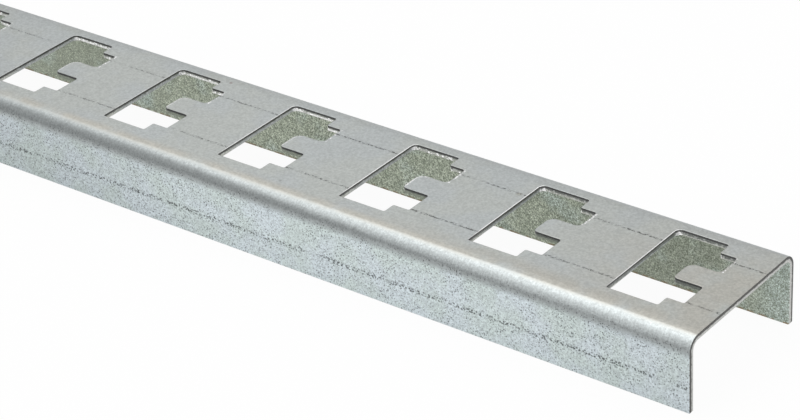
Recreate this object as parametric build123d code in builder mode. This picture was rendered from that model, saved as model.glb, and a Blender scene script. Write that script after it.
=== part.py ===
from build123d import *

# Cable rack post: a bent sheet-steel channel, web up and flanges down, with one row of
# hook-in bracket slots along its web. Lengths in millimetres.
# X runs along the post, Y across the web, Z up from the flanges' free edges.
import os
from math import floor

os.makedirs("parts", exist_ok=True)

# Channel
post_length = 500.0
web_width = 58.0
flange_height = 25.0
sheet_thickness = 2.0
bend_inner_radius = 2.5
rear_flange_corner_radius = 0.6

# Row of slots, counted from the +X end
slot_pitch = 50.0
end_margin = 12.0
smallest_far_margin = 5.0
front_margin = 11.5

# Slot: length along the post, width across the web
slot_length = 24.0
slot_width = 39.4
throat_length = 18.0

# Two notches at the slot's +X side, for the hooks of a bracket
front_notch_inset = 4.7
front_notch_width = 10.3
rear_notch_inset = 5.3

# Tongue that stands into the slot between the notches
tongue_length = 10.4
tongue_width = 9.5

# Slot corners
small_corner_radius = 0.6
rear_corner_radius = 1.0
far_corner_radius = 2.0
tongue_front_radius = 1.4
tongue_rear_radius = 3.0
tongue_root_radius = 1.8

# Lines of the slot outline, measured from its corner at the far end and front
notch_front = front_notch_inset
notch_rear = slot_width - rear_notch_inset
tongue_front = notch_front + front_notch_width
tongue_rear = tongue_front + tongue_width
tongue_tip = slot_length - tongue_length

# Every corner of the slot outline: along, across, radius
slot_corners = (
    (0, 0, small_corner_radius),
    (throat_length, 0, small_corner_radius),
    (throat_length, notch_front, small_corner_radius),
    (slot_length, notch_front, small_corner_radius),
    (slot_length, tongue_front, rear_corner_radius),
    (tongue_tip, tongue_front, tongue_front_radius),
    (tongue_tip, tongue_rear, tongue_rear_radius),
    (slot_length, tongue_rear, tongue_root_radius),
    (slot_length, notch_rear, rear_corner_radius),
    (throat_length, notch_rear, small_corner_radius),
    (throat_length, slot_width, rear_corner_radius),
    (0, slot_width, far_corner_radius),
)

# Slots that fit on the post, each placed by that same corner
slot_room = post_length - end_margin - slot_length - smallest_far_margin
slot_count = floor(slot_room / slot_pitch) + 1
first_slot_x = post_length / 2 - end_margin - slot_length
slot_y = front_margin - web_width / 2
slot_places = [(first_slot_x - i * slot_pitch, slot_y) for i in range(slot_count)]

with BuildPart() as cable_rack_post:
    # Bent sheet: its outer line up one flange, over the web and down the other, made thick inwards
    with BuildSketch(Plane.YZ):
        with BuildLine():
            FilletPolyline(
                (-web_width / 2, 0),
                (-web_width / 2, flange_height),
                (web_width / 2, flange_height),
                (web_width / 2, 0),
                radius=bend_inner_radius + sheet_thickness,
            )
            offset(amount=sheet_thickness, side=Side.RIGHT)
        make_face()
    extrude(amount=post_length / 2, both=True)

    # Free corners of the rear flange, slightly rounded at both ends
    free_edges = edges().filter_by(Axis.Y).group_by(Axis.Z)[0]
    fillet(free_edges.group_by(Axis.Y)[-1], rear_flange_corner_radius)

    # Outline of one slot
    with BuildSketch(mode=Mode.PRIVATE) as slot:
        Rectangle(throat_length, slot_width, align=Align.MIN)
        with Locations((0, notch_front)):
            Rectangle(slot_length, notch_rear - notch_front, align=Align.MIN)
        with Locations((tongue_tip, tongue_front)):
            Rectangle(tongue_length, tongue_width, align=Align.MIN, mode=Mode.SUBTRACT)
        for along, across, radius in slot_corners:
            fillet(slot.vertices().sort_by_distance((along, across, 0))[0], radius)

    # The row of slots, cut through the web
    with BuildSketch(Plane.XY.offset(flange_height)):
        with Locations(*slot_places):
            add(slot.sketch)
    extrude(amount=-2 * sheet_thickness, mode=Mode.SUBTRACT)

cable_rack_post.part.label = "cable_rack_post"
export_step(cable_rack_post.part, "parts/cable_rack_post.step")
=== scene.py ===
import math

import bmesh
import bpy
from mathutils import Matrix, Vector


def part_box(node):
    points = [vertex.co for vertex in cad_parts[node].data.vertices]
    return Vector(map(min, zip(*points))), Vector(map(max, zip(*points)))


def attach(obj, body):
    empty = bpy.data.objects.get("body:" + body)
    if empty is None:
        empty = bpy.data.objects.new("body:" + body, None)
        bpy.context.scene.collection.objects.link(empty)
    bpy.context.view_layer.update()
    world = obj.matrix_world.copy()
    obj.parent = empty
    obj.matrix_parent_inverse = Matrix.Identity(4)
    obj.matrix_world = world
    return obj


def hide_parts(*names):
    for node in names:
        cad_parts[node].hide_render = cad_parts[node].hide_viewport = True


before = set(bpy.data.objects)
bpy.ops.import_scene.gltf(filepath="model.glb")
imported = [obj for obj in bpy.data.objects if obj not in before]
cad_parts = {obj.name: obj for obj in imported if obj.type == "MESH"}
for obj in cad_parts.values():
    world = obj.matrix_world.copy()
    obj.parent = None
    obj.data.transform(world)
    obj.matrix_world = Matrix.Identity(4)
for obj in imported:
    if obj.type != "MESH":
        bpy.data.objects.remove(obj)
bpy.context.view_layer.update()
low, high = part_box("cable_rack_post")
print("frame loaded, post is", round((high.x - low.x) * 1000), "mm long")

# The bent sheet: sizes in metres, as in the CAD
post = {
    "sheet": 0.002,
    "innerRadius": 0.0025,
    "bendSteps": 16,
    "rearFlangeCorner": 0.0006,
    "slotCount": 10,
    "pitch": 0.05,
    "endMargin": 0.012,
    "frontMargin": 0.0115,
    "cornerSteps": 7,
    "rolledEdge": 0.0002,
    "rolledSteps": 2,
    "rolledAngle": 50,  # degrees, edges sharper than this are rolled
    "flatWithin": 0.01,  # radians
    "touching": 0.000001,  # points nearer than this are one
}
outerRadius = post["sheet"] + post["innerRadius"]

# One hook-in slot, from its corner at the far end and front
slot = {
    "length": 0.024,
    "width": 0.0394,
    "throat": 0.018,
    "frontInset": 0.0047,
    "frontNotch": 0.0103,
    "rearInset": 0.0053,
    "tongueLength": 0.0104,
    "tongueWidth": 0.0095,
    "small": 0.0006,
    "rear": 0.001,
    "far": 0.002,
    "tongueFront": 0.0014,
    "tongueRear": 0.003,
    "tongueRoot": 0.0018,
}


def slotCorners():  # along, across and radius of every corner
    notchFront = slot["frontInset"]
    notchRear = slot["width"] - slot["rearInset"]
    tongueFront = notchFront + slot["frontNotch"]
    tongueRear = tongueFront + slot["tongueWidth"]
    tip = slot["length"] - slot["tongueLength"]
    return (
        (0, 0, slot["small"]),
        (slot["throat"], 0, slot["small"]),
        (slot["throat"], notchFront, slot["small"]),
        (slot["length"], notchFront, slot["small"]),
        (slot["length"], tongueFront, slot["rear"]),
        (tip, tongueFront, slot["tongueFront"]),
        (tip, tongueRear, slot["tongueRear"]),
        (slot["length"], tongueRear, slot["tongueRoot"]),
        (slot["length"], notchRear, slot["rear"]),
        (slot["throat"], notchRear, slot["small"]),
        (slot["throat"], slot["width"], slot["rear"]),
        (0, slot["width"], slot["far"]),
    )


def roundCorner(bm, vert, radius):
    bmesh.ops.bevel(bm, geom=[vert], offset=radius, offset_type="OFFSET", segments=post["cornerSteps"],
                    profile=0.5, affect="VERTICES", material=-1)


def drawOutline(bm, corners):
    verts = [bm.verts.new((x, y, high.z)) for x, y, radius in corners]
    bm.faces.new(verts)
    for vert, (x, y, radius) in zip(verts, corners):
        if radius:
            roundCorner(bm, vert, radius)


def drawFlatWeb(bm):
    front, rear = low.y + outerRadius, high.y - outerRadius
    drawOutline(bm, [(low.x, front, 0), (high.x, front, 0), (high.x, rear, 0), (low.x, rear, 0)])
    for i in range(post["slotCount"]):
        x = high.x - post["endMargin"] - slot["length"] - i * post["pitch"]
        y = low.y + post["frontMargin"]
        drawOutline(bm, [(x + along, y + across, radius) for along, across, radius in slotCorners()])
    # the outlines' own faces go, and one fill between the outlines leaves the slots open
    bmesh.ops.delete(bm, geom=bm.faces[:], context="FACES_ONLY")
    bmesh.ops.triangle_fill(bm, edges=bm.edges[:], use_beauty=True)
    bmesh.ops.dissolve_limit(bm, angle_limit=post["flatWithin"], verts=bm.verts[:], edges=bm.edges[:])


def onBendLine(vert, y):  # where the flat web ends and a bend begins
    return abs(vert.co.y - y) < post["touching"] and abs(vert.co.z - high.z) < post["touching"]


def bendFlange(bm, side):  # side -1 is the front flange, 1 the rear one
    tangent = side * (high.y - outerRadius)
    line = [edge for edge in bm.edges if all(onBendLine(vert, tangent) for vert in edge.verts)]
    turned = bmesh.ops.spin(bm, geom=line, cent=(0, tangent, high.z - outerRadius), axis=(1, 0, 0),
                            angle=-side * math.pi / 2, steps=post["bendSteps"])
    last = [item for item in turned["geom_last"] if isinstance(item, bmesh.types.BMEdge)]
    drawn = bmesh.ops.extrude_edge_only(bm, edges=last)["geom"]
    lower = [item for item in drawn if isinstance(item, bmesh.types.BMVert)]
    bmesh.ops.translate(bm, verts=lower, vec=(0, 0, outerRadius - high.z))
    return lower


def thickenAndRoll(piece):
    thick = piece.modifiers.new("sheetThickness", "SOLIDIFY")
    thick.thickness = post["sheet"]
    thick.offset = -1
    thick.use_even_offset = True
    thick.use_quality_normals = True
    thick.material_offset = 1
    thick.material_offset_rim = 2
    rolled = piece.modifiers.new("rolledEdges", "BEVEL")
    rolled.limit_method = "ANGLE"
    rolled.angle_limit = math.radians(post["rolledAngle"])
    rolled.width = post["rolledEdge"]
    rolled.segments = post["rolledSteps"]
    rolled.use_clamp_overlap = False
    rolled.harden_normals = True
    flatter = piece.modifiers.new("evenShading", "WEIGHTED_NORMAL")
    flatter.keep_sharp = True


def makePost():
    bm = bmesh.new()
    drawFlatWeb(bm)
    bendFlange(bm, -1)
    for vert in bendFlange(bm, 1):
        roundCorner(bm, vert, post["rearFlangeCorner"])
    bmesh.ops.remove_doubles(bm, verts=bm.verts[:], dist=post["touching"])
    bmesh.ops.recalc_face_normals(bm, faces=bm.faces[:])
    # the thickness goes inwards, so the web has to face up
    top = max(bm.faces, key=lambda face: face.calc_area() if abs(face.normal.z) > 0.9 else 0)
    if top.normal.z < 0:
        bmesh.ops.reverse_faces(bm, faces=bm.faces[:])
    for face in bm.faces:
        face.smooth = True
    print("sheet drawn and bent:", len(bm.faces), "faces")
    mesh = bpy.data.meshes.new("postSheet")
    bm.to_mesh(mesh)
    bm.free()
    piece = bpy.data.objects.new("postSheet", mesh)
    bpy.context.scene.collection.objects.link(piece)
    thickenAndRoll(piece)
    return piece


# Small helpers that wire a material: each adds its node to the tree and returns what comes out
def put(tree, kind, inputs, out=0, **settings):
    node = tree.nodes.new("ShaderNode" + kind)
    for name, value in settings.items():
        setattr(node, name, value)
    for name, value in inputs.items():
        if isinstance(value, bpy.types.NodeSocket):
            tree.links.new(value, node.inputs[name])
        else:
            node.inputs[name].default_value = value
    return node.outputs[out]


def calc(tree, operation, *values, clamp=False):
    return put(tree, "Math", dict(enumerate(values)), operation=operation, use_clamp=clamp)


def times(tree, product, *others):
    for value in others:
        product = calc(tree, "MULTIPLY", product, value)
    return product


def most(tree, largest, *others):
    for value in others:
        largest = calc(tree, "MAXIMUM", largest, value)
    return largest


def minus(tree, value, taken):
    return calc(tree, "SUBTRACT", value, taken)


def plain(tree, value):  # without its sign
    return calc(tree, "ABSOLUTE", value)


def ramp(tree, value, start, end, fromValue=0.0, toValue=1.0):  # soft step between two values
    sockets = {"Value": value, "From Min": start, "From Max": end, "To Min": fromValue, "To Max": toValue}
    return put(tree, "MapRange", sockets, interpolation_type="SMOOTHSTEP")


def vector(tree, operation, *values, out=0):
    return put(tree, "VectorMath", dict(enumerate(values)), out=out, operation=operation)


def length(tree, value):
    return vector(tree, "LENGTH", value, out=1)


def join(tree, *parts):
    return put(tree, "CombineXYZ", dict(enumerate(parts)))


def split(tree, value):
    node = tree.nodes.new("ShaderNodeSeparateXYZ")
    tree.links.new(value, node.inputs[0])
    return node.outputs


def facing(tree):  # X, Y and Z of the way the surface faces
    return split(tree, put(tree, "NewGeometry", {}, out=1))


def noise(tree, place, scale, detail=2.0, roughness=0.5):
    return put(tree, "TexNoise", {"Vector": place, "Scale": scale, "Detail": detail, "Roughness": roughness})


def stretch(tree, place, amounts, shift=(0, 0, 0)):
    return put(tree, "Mapping", {"Vector": place, "Scale": amounts, "Location": shift})


def blend(tree, share, first, second):
    return put(tree, "Mix", {0: share, 6: first, 7: second}, out=2, data_type="RGBA")


def shade(tree, colour, amount):  # darkens or lightens a colour by a factor
    return put(tree, "VectorMath", {0: colour, "Scale": amount}, operation="SCALE")


def darken(tree, colour, share):  # takes this share of its light away
    return shade(tree, colour, minus(tree, 1.0, share))


def start(name):  # a new material, and the place on the object in millimetres
    material = bpy.data.materials.new(name)
    material.use_nodes = True
    tree = material.node_tree
    mm = stretch(tree, put(tree, "TexCoord", {}, out=3), (1000, 1000, 1000))
    return material, tree, mm, split(tree, mm)


def finish(tree, colour, metallic, roughness, height, bumpStrength, leaning=None, lean=None):
    shader = tree.nodes["Principled BSDF"]
    tree.links.new(colour, shader.inputs["Base Color"])
    if isinstance(metallic, bpy.types.NodeSocket):
        tree.links.new(metallic, shader.inputs["Metallic"])
    else:
        shader.inputs["Metallic"].default_value = metallic
    shader.inputs["Roughness"].default_value = roughness
    bump = put(tree, "Bump", {"Height": height, "Strength": bumpStrength, "Distance": 0.0001})
    if leaning:  # where this share is 1 the surface leans a set way
        bump = put(tree, "Mix", {0: leaning, 4: bump, 5: lean}, out=1, data_type="VECTOR")
        bump = vector(tree, "NORMALIZE", bump)
    tree.links.new(bump, shader.inputs["Normal"])


# Zinc on the outer side. Places are in millimetres from the post's middle, along, across and up.
# A row of four is where a change starts and ends, and the values there; a row of two goes from 0 to 1.
outer = {
    "webGrey": (0.449, 0.470, 0.454, 1),
    "webBlue": (0.442, 0.468, 0.468, 1),
    "webBeige": (0.440, 0.432, 0.392, 1),
    # bend and flanges lighter than the web: partly their own finish, partly painted light; the bend darker
    # than the flanges, part of the painted dark band
    "bendGrey": (0.518, 0.556, 0.558, 1),
    "flangeGrey": (0.600, 0.674, 0.662, 1),
    "flangeBlue": (0.634, 0.700, 0.732, 1),
    # painted highlight: the white of the lit punched edges and of the glinting burrs on the web
    "paintedHighlight": (0.930, 0.930, 0.930, 1),
    "metallic": 0.8,
    "roughness": 0.34,
    "bumpStrength": 0.12,
    "warmEnd": (170, 250, 0, 0.9),  # beige along the web, near the cut end
    "warmEndAcross": (22, 8, 0.4, 1),
    "warmFront": (-15, -23),  # beige across the web, near the front bend
    "warmFrontAlong": (100, 200),
    "warmBend": (-20.5, -24.0),
    "rollLines": ((-12.2, 3.1), (13.6, 8.4)),  # place across the web, and shift of the noise
    "rollWidth": 0.6,
    "rollStrength": (-60, 120, 0.5, 0.75),
    "specks": (  # along, across, size, strength and colour of the small stains
        (35.4, 22.8, 0.9, 1.0, (0.260, 0.200, 0.190, 1)),
        (161.3, 13.2, 1.5, 0.5, (0.300, 0.290, 0.230, 1)),
        (92.4, -20.0, 0.8, 0.8, (0.230, 0.240, 0.230, 1)),
        (8.8, 21.1, 0.8, 0.5, (0.230, 0.240, 0.230, 1)),
    ),
    "burrLine": (24.4, 7.5, 16.6),  # along from the slot's start, then across from and to
    "burrWidth": (0.3, 0.5, 1, 0),
    "burrFade": 0.5,
    "tipBurrWidth": 0.9,
    "tipBurrAlong": (165, 140),
    "tipBurrFaint": (65, 125, 0.5, 1),
    "lipAlong": (-20, 120, 0.2, 1),
    "lipAcross": (-17, -9, 0.3, 1),
    "pitDepth": (20.0, 24.6, 0.85, 0),
    "scarHeight": 8.6,
    "scarWidth": 1.1,
    "scarShift": 5.7,
    "scarDepth": 0.8,
    "flangeFar": (-20, 90, 0.84, 1.02),
    "flangeNear": (170, 245, 1, 0.93),
    "bendAside": (24.3, 27.0),
    "bendAbove": (18.5, 21.5),
    "bandStart": (19.4, 22.0),
    "bandFade": (30, 200, 24.1, 22.4),
    "bandTop": (30, 200, 25.6, 23.9),
    "bandRise": 0.0034,
    "bandDepth": 0.28,
    "combedFrom": (19.5, 21.5),
    "combedTo": (24.6, 24.95, 1, 0),
    "dip": (22.2, 27.0),
    "dipDepth": (-120, 200, 24.5, 22),
}


def dots(tree, place, scale, size, share):  # small pits, one in some of the cells
    cell = tree.nodes.new("ShaderNodeTexVoronoi")
    cell.inputs["Scale"].default_value = scale
    tree.links.new(place, cell.inputs["Vector"])
    near = ramp(tree, cell.outputs["Distance"], size * 0.45, size, 1, 0)
    pick = put(tree, "SeparateColor", {0: cell.outputs["Color"]})
    return times(tree, near, calc(tree, "GREATER_THAN", pick, 1 - share))


def rollLine(tree, mm, aside, place, width, shift, grain):  # a thin broken line left by the rolls
    drift = noise(tree, stretch(tree, mm, (0.07, 0, 0), (shift, 0, 0)), 1.0, 5, 0.65)
    drift = times(tree, minus(tree, drift, 0.5), 0.8)
    gap = plain(tree, minus(tree, minus(tree, aside, place), drift))
    fading = noise(tree, stretch(tree, mm, (0.06, 0, 0), (shift * 7, 0, 0)), 1.0, 2)
    grain = times(tree, grain, ramp(tree, fading, 0.34, 0.48, 0.15, 1))
    return times(tree, ramp(tree, gap, width * 0.4, width, 1, 0), grain)


def paintedLipHighlight(tree, along, across):  # painted highlight on the punched edge that leans up and to the +X side, away from the ends
    faceX, _, faceZ = facing(tree)
    return times(
        tree,
        ramp(tree, faceX, 0.15, 0.4),
        ramp(tree, faceZ, 0.4, 0.65),
        ramp(tree, along, *outer["lipAlong"]),
        ramp(tree, across, *outer["lipAcross"]),
        calc(tree, "LESS_THAN", along, high.x * 1000 - 1),
    )


def notchBurrGlints(tree, mm, across, inSlot):  # painted glints of bright burrs on the web, beside every rear notch
    burrAlong, burrFrom, burrTo = outer["burrLine"]
    return times(
        tree,
        ramp(tree, plain(tree, minus(tree, inSlot, burrAlong)), *outer["burrWidth"]),
        ramp(tree, across, burrFrom - outer["burrFade"], burrFrom),
        ramp(tree, across, burrTo, burrTo + outer["burrFade"], 1, 0),
        dots(tree, mm, 1.1, 0.6, 0.8),
    )


def tipBurrGlints(tree, mm, along, across, inSlot):  # painted glints of burrs around the tips of the tongues
    width = outer["tipBurrWidth"]
    radius = slot["tongueRear"] * 1000
    tip = (slot["length"] - slot["tongueLength"]) * 1000
    frontSide = (low.y + post["frontMargin"] + slot["frontInset"] + slot["frontNotch"]) * 1000
    rearSide = frontSide + slot["tongueWidth"] * 1000
    # how far a spot lies from the centre line of the tongue's round rear corner
    fromTip = most(tree, minus(tree, tip + radius, inSlot), 0.0)
    fromRear = most(tree, minus(tree, across, rearSide - radius), 0.0)
    reach = length(tree, join(tree, fromTip, fromRear))
    return times(
        tree,
        ramp(tree, reach, radius - width, radius - width / 2),
        ramp(tree, reach, radius, radius + width, 1, 0),
        ramp(tree, across, frontSide, frontSide + 0.8),
        ramp(tree, inSlot, tip + radius, tip + radius + 1.5, 1, 0),
        ramp(tree, across, frontSide + 2, rearSide, 1, 0.7),
        ramp(tree, noise(tree, mm, 1.0, 2), 0.42, 0.52, 0.15, 1),
        ramp(tree, along, *outer["tipBurrFaint"]),
        ramp(tree, along, *outer["tipBurrAlong"]),
    )


def webColour(tree, mm, along, across, fine):  # calm fine grain, beige near the cut end and the front bend
    web = blend(tree, ramp(tree, noise(tree, mm, 0.05, 3), 0.4, 0.6), outer["webGrey"], outer["webBlue"])
    warmEnd = times(tree, ramp(tree, along, *outer["warmEnd"]), ramp(tree, across, *outer["warmEndAcross"]))
    warmFront = ramp(tree, across, *outer["warmFront"])
    warmFront = times(tree, warmFront, ramp(tree, along, *outer["warmFrontAlong"]))
    warm = most(tree, warmEnd, warmFront, ramp(tree, across, *outer["warmBend"]))
    warm = times(tree, warm, ramp(tree, noise(tree, mm, 0.09, 2), 0.2, 0.55))
    web = blend(tree, warm, web, outer["webBeige"])
    web = shade(tree, web, ramp(tree, fine, 0.25, 0.75, 0.86, 1.14))
    marks = ramp(tree, noise(tree, stretch(tree, mm, (0.35, 2.6, 2.6)), 1.0, 1), 0.66, 0.74)
    web = darken(tree, web, times(tree, marks, 0.06))
    for place, shift in outer["rollLines"]:
        dashes = noise(tree, stretch(tree, mm, (0.8, 1.6, 1.6), (shift * 3, 0, 0)), 1.0, 3, 0.7)
        dashes = ramp(tree, dashes, 0.48, 0.54)
        line = rollLine(tree, mm, across, place, outer["rollWidth"], shift, dashes)
        web = darken(tree, web, times(tree, line, ramp(tree, along, *outer["rollStrength"])))
    for atAlong, atAcross, size, strength, tone in outer["specks"]:
        away = length(tree, join(tree, minus(tree, along, atAlong), minus(tree, across, atAcross)))
        web = blend(tree, ramp(tree, away, 0, size, strength, 0), web, tone)
    slotStart = (high.x - post["endMargin"] - slot["length"]) * 1000
    inSlot = calc(tree, "FLOORED_MODULO", minus(tree, along, slotStart), post["pitch"] * 1000)
    # painted glints of burrs beside the notches and round the tongue tips
    web = blend(tree, notchBurrGlints(tree, mm, across, inSlot), web, outer["paintedHighlight"])
    return blend(tree, tipBurrGlints(tree, mm, along, across, inSlot), web, outer["paintedHighlight"])


def flangeColour(tree, mm, along, up):  # bluish, with a scar along it
    flange = ramp(tree, noise(tree, mm, 0.07, 3), 0.38, 0.62)
    flange = blend(tree, flange, outer["flangeGrey"], outer["flangeBlue"])
    flange = shade(tree, flange, ramp(tree, noise(tree, mm, 1.6, 3, 0.75), 0.25, 0.75, 0.74, 1.28))
    crumbs = dots(tree, mm, 1.3, 0.6, 0.9)
    scar = rollLine(tree, mm, up, outer["scarHeight"], outer["scarWidth"], outer["scarShift"], crumbs)
    flange = darken(tree, flange, times(tree, scar, outer["scarDepth"]))
    flange = shade(tree, flange, ramp(tree, along, *outer["flangeFar"]))
    return shade(tree, flange, ramp(tree, along, *outer["flangeNear"]))


def darkPits(tree, mm, up):  # on the flanges, fewer and fewer up the bend
    big = dots(tree, mm, 0.95, 0.3, 0.7)
    little = dots(tree, mm, 1.6, 0.4, 0.7)
    crowded = ramp(tree, noise(tree, mm, 0.12, 2), 0.35, 0.6, 0.6, 1)
    pits = times(tree, most(tree, big, times(tree, little, 0.8)), crowded)
    return times(tree, pits, ramp(tree, up, *outer["pitDepth"]))


def paintedDarkBand(tree, mm, along, up):  # painted dark reflection where the bend runs out into the flange
    wander = times(tree, noise(tree, stretch(tree, mm, (0.5, 0.05, 0.05)), 1.0, 2), 0.8)
    wander = calc(tree, "ADD", calc(tree, "ADD", up, wander), times(tree, along, outer["bandRise"]))
    fade = ramp(tree, along, *outer["bandFade"])
    top = ramp(tree, along, *outer["bandTop"])
    band = times(tree, ramp(tree, wander, *outer["bandStart"]), ramp(tree, wander, fade, top, 1, 0))
    return times(tree, band, outer["bandDepth"])


def outerZinc():
    material, tree, mm, (along, across, up) = start("outerZinc")
    aside = plain(tree, across)
    fine = noise(tree, mm, 1.3, 3, 0.6)
    web = webColour(tree, mm, along, across, fine)
    # bend and flanges painted lighter than the web, partly their own finish and partly painted light
    colour = blend(tree, ramp(tree, aside, *outer["bendAside"]), web, outer["bendGrey"])
    flange = flangeColour(tree, mm, along, up)
    colour = blend(tree, ramp(tree, up, *outer["bendAbove"]), flange, colour)
    colour = darken(tree, colour, darkPits(tree, mm, up))
    # painted dark reflection band along the lower bend
    colour = darken(tree, colour, paintedDarkBand(tree, mm, along, up))
    # the bend is combed crosswise and finely speckled
    bend = times(tree, ramp(tree, up, *outer["combedFrom"]), ramp(tree, up, *outer["combedTo"]))
    combed = noise(tree, stretch(tree, mm, (2.2, 0.18, 0.18)), 1.0, 3, 0.6)
    combed = times(tree, minus(tree, combed, 0.5), bend)
    speckle = times(tree, minus(tree, noise(tree, mm, 1.4, 3, 0.7), 0.5), bend)
    colour = shade(tree, colour, ramp(tree, combed, -0.25, 0.25, 0.92, 1.08))
    colour = shade(tree, colour, ramp(tree, speckle, -0.25, 0.25, 0.8, 1.2))
    # painted highlight along the punched edges
    colour = blend(tree, paintedLipHighlight(tree, along, across), colour, outer["paintedHighlight"])
    # the web already dips a little before it turns down
    dip = times(tree, ramp(tree, aside, *outer["dip"]), ramp(tree, along, *outer["dipDepth"]))
    height = calc(tree, "ADD", times(tree, fine, 0.3), times(tree, combed, 0.3))
    height = minus(tree, height, dip)
    finish(tree, colour, outer["metallic"], outer["roughness"], height, outer["bumpStrength"])
    return material


# Zinc on the inner side, with places as above
inner = {
    "olive": (0.540, 0.578, 0.492, 1),
    "blueGrey": (0.610, 0.690, 0.655, 1),
    "dark": (0.190, 0.220, 0.165, 1),
    "rust": (0.330, 0.250, 0.150, 1),
    "metallic": 0.75,
    "roughness": 0.42,
    "bumpStrength": 0.15,
    "blueEnd": (234, 246, 0, 0.9),
    "brighterFrom": (220, 120, 1, 1.4),
    "darkerFrom": (10, -35, 1, 0.8),
    "mottleFrom": (-60, 40, 0.72, 1),
    "rustHeight": (1.0, 0.3),
}


def innerZinc():
    material, tree, mm, (along, _, up) = start("innerZinc")
    patch = ramp(tree, noise(tree, mm, 0.1, 3), 0.45, 0.75)
    colour = blend(tree, patch, inner["olive"], inner["blueGrey"])
    colour = blend(tree, ramp(tree, along, *inner["blueEnd"]), colour, inner["blueGrey"])
    colour = shade(tree, colour, ramp(tree, along, *inner["brighterFrom"]))
    colour = shade(tree, colour, ramp(tree, along, *inner["darkerFrom"]))
    grains = noise(tree, mm, 1.9, 3, 0.75)
    mottle = times(tree, ramp(tree, grains, 0.40, 0.60, 0, 0.85), ramp(tree, along, *inner["mottleFrom"]))
    colour = blend(tree, mottle, colour, inner["dark"])
    colour = shade(tree, colour, ramp(tree, noise(tree, mm, 0.5, 3, 0.6), 0.3, 0.7, 0.86, 1.1))
    sparkle = noise(tree, stretch(tree, mm, (2.6, 2.6, 2.6), (7, 3, 5)), 1.0, 1)
    colour = shade(tree, colour, ramp(tree, sparkle, 0.54, 0.68, 1, 1.5))
    # broken line of rust along the flanges' free edges
    rusty = ramp(tree, noise(tree, mm, 0.4, 2), 0.42, 0.56)
    rusty = times(tree, ramp(tree, up, *inner["rustHeight"]), rusty)
    colour = blend(tree, rusty, colour, inner["rust"])
    finish(tree, colour, inner["metallic"], inner["roughness"], grains, inner["bumpStrength"])
    return material


# Bare steel of the punched walls and the cut ends, with places as above
cut = {
    # painted shadow line under the rolled edge, then painted dark reflection of the burnish zone and,
    # darker, of the cut ends
    "paintedShadowLine": (0.100, 0.100, 0.100, 1),
    "paintedBurnishDark": (0.270, 0.280, 0.270, 1),
    "paintedEndDark": (0.085, 0.085, 0.080, 1),
    "torn": (0.660, 0.670, 0.630, 1),
    "tornEnd": (0.560, 0.565, 0.545, 1),
    "shadedTorn": (0.400, 0.430, 0.370, 1),
    "coolTorn": (0.440, 0.466, 0.474, 1),
    # painted glint: the white of the burrs, the turned corners and the lit punched edges
    "paintedGlint": (0.950, 0.950, 0.950, 1),
    "burrLean": (0.1, -0.6, 0.8),
    "metallic": 0.6,
    "roughness": 0.4,
    "bumpStrength": 0.2,
    "tornDullness": 0.7,
    "raggedness": 1.2,
    "shadowLineDepth": (0.5, 0.85),  # depths under the outer face
    "burnishDepth": (100, 240, 0.75, 1.35),
    "endDepth": 0.8,
    "tornSoftness": 0.35,
    "underTongue": (9, 5),
    "farWall": (-14, -6),
    "cornerDepth": (0.5, 0.9),
    "stripDepth": (1.05, 1.35, 0, 0.7),
    "stripAlong": (150, 80),
    "crumbDepth": (0.7, 1.0),
    "crumbsAlong": (190, 100, 0.4, 1),
}


def cutDepth(tree, mm):  # depth under the outer face of the bent sheet, in millimetres
    radius = outerRadius * 1000
    farOut = 1000  # keeps X out of the distance to the bends' centre lines
    centre = (farOut, high.y * 1000 - radius, high.z * 1000 - radius)
    fromBend = vector(tree, "SUBTRACT", vector(tree, "ABSOLUTE", mm), centre)
    around = length(tree, vector(tree, "MAXIMUM", fromBend, (0, 0, 0)))
    _, aside, above = split(tree, fromBend)
    flat = calc(tree, "MINIMUM", most(tree, aside, above), 0.0)
    return minus(tree, minus(tree, radius, around), flat)


def paintedWallGlints(tree, mm, along, depth, ragged, turned, toFront):  # painted glints of burrs low on the walls, and painted highlights at turned corners
    corner = times(
        tree,
        ramp(tree, turned, 0.15, 0.35),
        ramp(tree, depth, *cut["cornerDepth"]),
        ramp(tree, noise(tree, mm, 1.1, 2), 0.42, 0.55),
    )
    strip = times(
        tree,
        ramp(tree, ragged, *cut["stripDepth"]),
        ramp(tree, along, *cut["stripAlong"]),
        ramp(tree, noise(tree, mm, 0.4, 2), 0.35, 0.5, 0.5, 1),
    )
    crumbs = times(tree, dots(tree, mm, 1.1, 0.65, 0.7), ramp(tree, ragged, *cut["crumbDepth"]))
    crumbs = times(
        tree,
        most(tree, crumbs, strip),
        ramp(tree, toFront, 0, 1, 0.3, 1),
        ramp(tree, along, *cut["crumbsAlong"]),
    )
    return most(tree, crumbs, corner)


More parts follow.
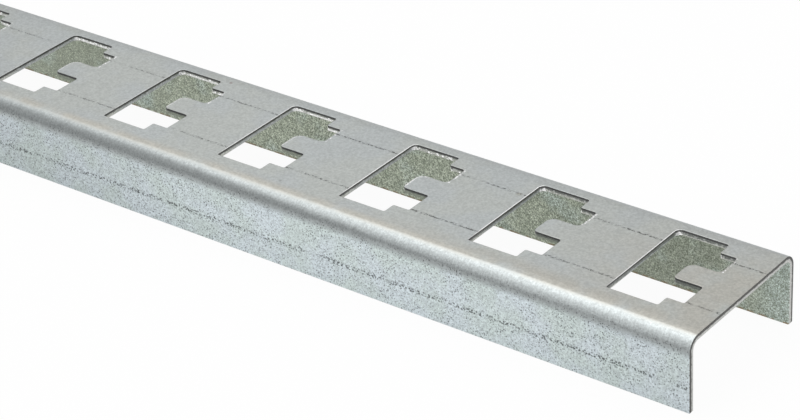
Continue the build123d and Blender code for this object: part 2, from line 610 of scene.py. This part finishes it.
def cutSteel():
    material, tree, mm, (along, across, _) = start("cutSteel")
    depth = cutDepth(tree, mm)
    uneven = times(tree, minus(tree, noise(tree, mm, 0.5, 4, 0.6), 0.5), cut["raggedness"])
    ragged = calc(tree, "ADD", depth, uneven)
    atEnd = calc(tree, "GREATER_THAN", plain(tree, along), high.x * 1000 - 0.3)
    burnishDepth = ramp(tree, along, *cut["burnishDepth"])
    burnishDepth = put(tree, "Mix", {0: atEnd, 2: burnishDepth, 3: cut["endDepth"]}, data_type="FLOAT")
    torn = ramp(tree, minus(tree, ragged, burnishDepth), 0, cut["tornSoftness"])
    # painted shadow line at the top of each wall, then the burnish zone painted dark as a dark reflection
    paintedBurnishDark = blend(tree, ramp(tree, depth, *cut["shadowLineDepth"]), cut["paintedShadowLine"], cut["paintedBurnishDark"])
    # the walls along the post in front of the tongues get a darker torn tone, painted shade, and no painted
    # glints
    faceX, faceY, _ = facing(tree)
    toFront = ramp(tree, faceY, -0.4, -0.8)
    underTongue = times(tree, toFront, ramp(tree, across, *cut["underTongue"]))
    tornTone = blend(tree, underTongue, cut["torn"], cut["shadedTorn"])
    # the long walls at the slots' far side turn darker and cooler towards the rear
    farWall = times(tree, ramp(tree, faceX, 0.5, 0.9), ramp(tree, across, *cut["farWall"]))
    tornTone = blend(tree, farWall, tornTone, cut["coolTorn"])
    tornTone = blend(tree, atEnd, tornTone, cut["tornEnd"])
    # above the torn zone the walls keep the painted shadow line and painted dark reflection, darker still at
    # the cut ends
    colour = blend(tree, torn, blend(tree, atEnd, paintedBurnishDark, cut["paintedEndDark"]), tornTone)
    scratches = noise(tree, mm, 2.5, 2)
    colour = shade(tree, colour, ramp(tree, scratches, 0.25, 0.75, 0.72, 1.28))
    turned = plain(tree, times(tree, faceX, faceY))
    glint = paintedWallGlints(tree, mm, along, depth, ragged, turned, toFront)
    glint = times(tree, glint, minus(tree, 1.0, most(tree, underTongue, atEnd)))
    # painted glints of burrs and painted highlight on the punched edges
    colour = blend(tree, most(tree, glint, paintedLipHighlight(tree, along, across)), colour, cut["paintedGlint"])
    dull = minus(tree, times(tree, torn, minus(tree, cut["tornDullness"], atEnd)), glint)
    metal = times(tree, calc(tree, "SUBTRACT", 1.0, dull, clamp=True), cut["metallic"])
    finish(tree, colour, metal, cut["roughness"], scratches, cut["bumpStrength"], glint, cut["burrLean"])
    return material


postSheet = makePost()
for material in (outerZinc(), innerZinc(), cutSteel()):
    postSheet.data.materials.append(material)
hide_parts("cable_rack_post")
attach(postSheet, "root")
print("post and its three surfaces made")

# The photograph's viewing angle: degrees, millimetres of lens and sensor, metres from the origin
view = {
    "azimuth": 39.0872,
    "elevation": 30.188,
    "roll": -3.4575,
    "lens": 122.19,
    "sensor": 36,
    "place": (0.593006, -0.577255, 0.446847),
}


def setCamera():
    data = bpy.data.cameras.new("photoCamera")
    data.sensor_width = view["sensor"]
    data.lens = view["lens"]
    camera = bpy.data.objects.new("photoCamera", data)
    bpy.context.scene.collection.objects.link(camera)
    camera.matrix_world = (
        Matrix.Translation(view["place"])
        @ Matrix.Rotation(math.radians(view["azimuth"]), 4, "Z")
        @ Matrix.Rotation(math.radians(90 - view["elevation"]), 4, "X")
        @ Matrix.Rotation(math.radians(view["roll"]), 4, "Z")
    )
    bpy.context.scene.camera = camera


# Floor, sky and lamps. The rows are directions or metres where a change starts and ends.
studio = {
    "floorSize": 30.0,
    "paper": (0.9, 0.9, 0.9, 1),
    "paperGlow": 0.95,
    "paperGloss": 0.5,
    "paperFade": (0.03, 0.2),
    "sky": 0.62,
    "horizon": 0.4,
    "rearTone": 0.76,
    "turn": (-0.42, 0.48),  # from the dull front to the paler rear
    "boxGlow": 2.25,
    "boxSide": (0.42, 0.77),
    "boxFront": (-1.30, 0.06),
    "boxRear": (0.70, 0.28),
    "boxNarrows": (0.44, 0.70, 0, 0.88),
    "boxHole": (0.915, 0.975, 1, 0.12),
    "lamps": {
        "overhead": {"place": (-0.2, 0.2, 1.3), "aim": (0.0, 0.0, 0.0), "size": (1.2, 1.2), "power": 6.0},
        "front": {"place": (1.1, -1.2, 0.9), "aim": (0.0, 0.0, 0.0), "size": (1.2, 0.8), "power": 8.0},
    },
}


def rays(tree):  # those from the camera, and those that a gloss or a see-through surface sends
    path = tree.nodes.new("ShaderNodeLightPath").outputs
    return path["Is Camera Ray"], most(tree, path["Is Glossy Ray"], path["Is Transmission Ray"])


def setFloor():
    bm = bmesh.new()
    bmesh.ops.create_grid(bm, x_segments=1, y_segments=1, size=studio["floorSize"] / 2)
    mesh = bpy.data.meshes.new("floor")
    bm.to_mesh(mesh)
    bm.free()
    floor = bpy.data.objects.new("floor", mesh)
    bpy.context.scene.collection.objects.link(floor)
    paper = bpy.data.materials.new("whitePaper")
    paper.use_nodes = True
    tree = paper.node_tree
    tree.nodes.remove(tree.nodes["Principled BSDF"])
    byCamera, byGloss = rays(tree)
    # how far a spot lies from the post, which darkens what a gloss sees of the floor
    aside = vector(tree, "ABSOLUTE", put(tree, "TexCoord", {}, out=3))
    aside = vector(tree, "SUBTRACT", aside, (high.x, high.y, 1))
    distance = length(tree, vector(tree, "MAXIMUM", aside, (0, 0, 0)))
    far = ramp(tree, distance, *studio["paperFade"], 1.0, studio["horizon"])
    gloss = times(tree, byGloss, ramp(tree, distance, *studio["paperFade"], studio["paperGloss"], 1.0))
    share = most(tree, times(tree, byCamera, studio["paperGlow"]), gloss)
    matt = put(tree, "BsdfDiffuse", {"Color": studio["paper"]})
    glow = put(tree, "Emission", {"Strength": most(tree, far, byCamera)})
    surface = put(tree, "MixShader", {0: share, 1: matt, 2: glow})
    tree.links.new(surface, tree.nodes["Material Output"].inputs["Surface"])
    floor.data.materials.append(paper)


def setWorld():
    world = bpy.data.worlds.new("studio")
    bpy.context.scene.world = world
    world.use_nodes = True
    tree = world.node_tree
    byCamera, byGloss = rays(tree)
    sideways, rearwards, upwards = split(tree, put(tree, "TexCoord", {}, out=0))
    sideways = plain(tree, sideways)
    # what a gloss sees: dull in front, paler behind, and a wide soft box with a hole straight above
    dome = ramp(tree, rearwards, *studio["turn"], studio["horizon"], studio["rearTone"])
    narrowed = minus(tree, rearwards, ramp(tree, sideways, *studio["boxNarrows"]))
    box = times(
        tree,
        ramp(tree, sideways, *studio["boxSide"], studio["boxGlow"], 0),
        ramp(tree, narrowed, *studio["boxFront"]),
        ramp(tree, rearwards, *studio["boxRear"]),
        ramp(tree, upwards, *studio["boxHole"]),
    )
    glossy = most(tree, calc(tree, "ADD", dome, box), byCamera)
    seen = most(tree, byCamera, byGloss)
    strength = put(tree, "MapRange", {"Value": seen, "To Min": studio["sky"], "To Max": glossy})
    background = tree.nodes["Background"]
    background.inputs["Color"].default_value = (1, 1, 1, 1)
    tree.links.new(strength, background.inputs["Strength"])


def setLamps():
    for name, lamp in studio["lamps"].items():
        data = bpy.data.lights.new(name, "AREA")
        data.shape = "RECTANGLE"
        data.size, data.size_y = lamp["size"]
        data.energy = lamp["power"]
        light = bpy.data.objects.new(name, data)
        light.visible_glossy = False  # the soft box of the world is what shines in the metal
        bpy.context.scene.collection.objects.link(light)
        place = Matrix.Translation(lamp["place"])
        away = place.translation - Matrix.Translation(lamp["aim"]).translation
        light.matrix_world = place @ away.to_track_quat("Z", "Y").to_matrix().to_4x4()


setCamera()
setFloor()
setWorld()
setLamps()
bpy.context.scene.view_settings.view_transform = "Standard"
print("camera, floor and lamps set")
